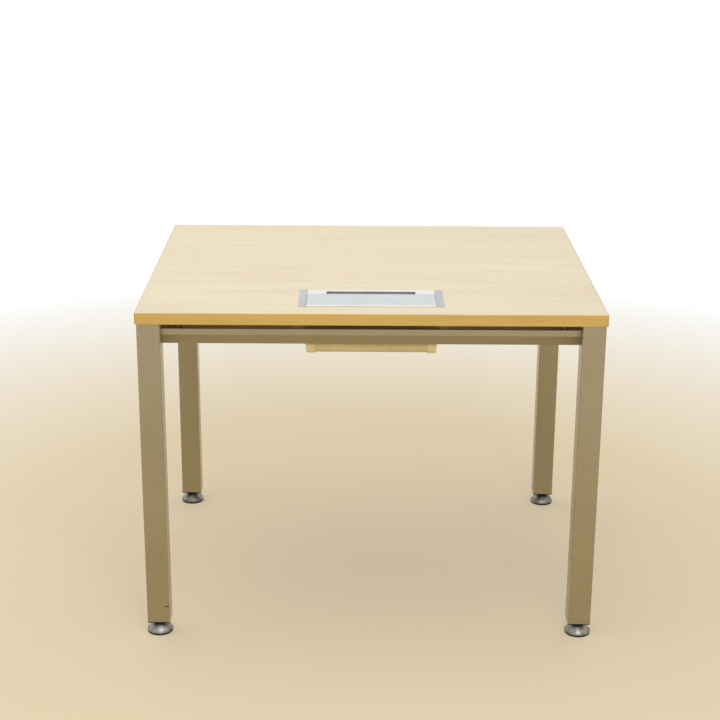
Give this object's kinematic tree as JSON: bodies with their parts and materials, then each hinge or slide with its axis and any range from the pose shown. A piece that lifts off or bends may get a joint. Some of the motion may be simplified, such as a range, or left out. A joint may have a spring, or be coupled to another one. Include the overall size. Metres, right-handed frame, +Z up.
{
  "type": "office desk",
  "caption": "Office desk: wood-grain top with edge bands on a square-tube steel frame, with a hinged cable hatch, a cable tray below it and screw-adjusted feet.",
  "frame": {"origin": "on the floor under the middle of the top", "axes": "+X along the desk's width, +Y from the hatch side (front) towards the user's side (rear), +Z up"},
  "size_m": [1.002, 0.802, 0.7579],
  "materials": {
    "maple_top": "maple-grain laminate, satin",
    "maple_edge": "honey-coloured edge band, satin",
    "frame_paint": "fine champagne metallic powder coat",
    "plug_plastic": "moulded, fine texture",
    "block_steel": "sawn and bored bar",
    "zinc_fasteners": "zinc plated",
    "hatch_caps": "grey moulded plastic",
    "hatch_rails": "white painted extrusion",
    "hatch_lid": "satin anodised extrusion",
    "pin_steel": "ground rod",
    "tray_paint": "off-white powder coat",
    "tray_caps": "ivory moulded plastic",
    "foot_nickel": "satin nickel plate on turned steel",
    "pad_rubber": "black, moulded"
  },
  "bodies": {
    "frame": {"desktop_board": "maple_top", "edge_band_front": "maple_edge", "edge_band_rear": "maple_edge", "edge_band_left": "maple_edge", "edge_band_right": "maple_edge", "leg_front_left": "frame_paint", "leg_front_right": "frame_paint", "leg_rear_left": "frame_paint", "leg_rear_right": "frame_paint", "leg_plug_front_left": "plug_plastic", "leg_plug_front_right": "plug_plastic", "leg_plug_rear_left": "plug_plastic", "leg_plug_rear_right": "plug_plastic", "nut_block_front_left": "block_steel", "nut_block_front_right": "block_steel", "nut_block_rear_left": "block_steel", "nut_block_rear_right": "block_steel", "beam_front": "frame_paint", "beam_rear": "frame_paint", "beam_left": "frame_paint", "beam_right": "frame_paint", "beam_bolt_x_front_left": "zinc_fasteners", "beam_bolt_x_front_right": "zinc_fasteners", "beam_bolt_x_rear_left": "zinc_fasteners", "beam_bolt_x_rear_right": "zinc_fasteners", "beam_bolt_y_front_left": "zinc_fasteners", "beam_bolt_y_front_right": "zinc_fasteners", "beam_bolt_y_rear_left": "zinc_fasteners", "beam_bolt_y_rear_right": "zinc_fasteners", "top_spacer_front_left": "zinc_fasteners", "top_spacer_front_right": "zinc_fasteners", "top_spacer_rear_left": "zinc_fasteners", "top_spacer_rear_right": "zinc_fasteners", "top_bolt_front_left": "zinc_fasteners", "top_bolt_front_right": "zinc_fasteners", "top_bolt_rear_left": "zinc_fasteners", "top_bolt_rear_right": "zinc_fasteners", "hatch_cap_left": "hatch_caps", "hatch_cap_right": "hatch_caps", "hatch_front_rail": "hatch_rails", "hatch_rear_rail": "hatch_rails", "hinge_pin_left": "pin_steel", "hinge_pin_right": "pin_steel", "cable_tray": "tray_paint", "tray_cap_left": "tray_caps", "tray_cap_right": "tray_caps", "tray_screw_front_left": "zinc_fasteners", "tray_screw_front_right": "zinc_fasteners", "tray_screw_rear_left": "zinc_fasteners", "tray_screw_rear_right": "zinc_fasteners"},
    "lid": {"hatch_lid": "hatch_lid"},
    "pad_front_left": {"glide_pad_front_left": "pad_rubber"},
    "pad_front_right": {"glide_pad_front_right": "pad_rubber"},
    "pad_rear_left": {"glide_pad_rear_left": "pad_rubber"},
    "pad_rear_right": {"glide_pad_rear_right": "pad_rubber"},
    "screw_front_left": {"foot_front_left": "foot_nickel"},
    "screw_front_right": {"foot_front_right": "foot_nickel"},
    "screw_rear_left": {"foot_rear_left": "foot_nickel"},
    "screw_rear_right": {"foot_rear_right": "foot_nickel"}
  },
  "joints": [
    {"name": "lid_hinge", "type": "hinge", "parent": "frame", "child": "lid", "pos_m": [0, -0.3337, 0.7544], "axis": [1, 0, 0], "range_deg": [0, 100]},
    {"name": "front_left_travel", "type": "slide", "parent": "frame", "child": "pad_front_left", "axis": [0, 0, -1], "range_m": [0, 0.015]},
    {"name": "front_right_travel", "type": "slide", "parent": "frame", "child": "pad_front_right", "axis": [0, 0, -1], "range_m": [0, 0.015]},
    {"name": "rear_left_travel", "type": "slide", "parent": "frame", "child": "pad_rear_left", "axis": [0, 0, -1], "range_m": [0, 0.015]},
    {"name": "rear_right_travel", "type": "slide", "parent": "frame", "child": "pad_rear_right", "axis": [0, 0, -1], "range_m": [0, 0.015]},
    {"name": "front_left_turn", "type": "hinge", "parent": "pad_front_left", "child": "screw_front_left", "pos_m": [-0.472, -0.372, 0.015], "axis": [0, 0, -1], "range_deg": [0, 3600]},
    {"name": "front_right_turn", "type": "hinge", "parent": "pad_front_right", "child": "screw_front_right", "pos_m": [0.472, -0.372, 0.015], "axis": [0, 0, -1], "range_deg": [0, 3600]},
    {"name": "rear_left_turn", "type": "hinge", "parent": "pad_rear_left", "child": "screw_rear_left", "pos_m": [-0.472, 0.372, 0.015], "axis": [0, 0, -1], "range_deg": [0, 3600]},
    {"name": "rear_right_turn", "type": "hinge", "parent": "pad_rear_right", "child": "screw_rear_right", "pos_m": [0.472, 0.372, 0.015], "axis": [0, 0, -1], "range_deg": [0, 3600]}
  ],
  "couplings": [
    {"joint": "front_left_travel", "follows": "front_left_turn", "m_per_rad": 0.00023873},
    {"joint": "front_right_travel", "follows": "front_right_turn", "m_per_rad": 0.00023873},
    {"joint": "rear_left_travel", "follows": "rear_left_turn", "m_per_rad": 0.00023873},
    {"joint": "rear_right_travel", "follows": "rear_right_turn", "m_per_rad": 0.00023873}
  ]
}
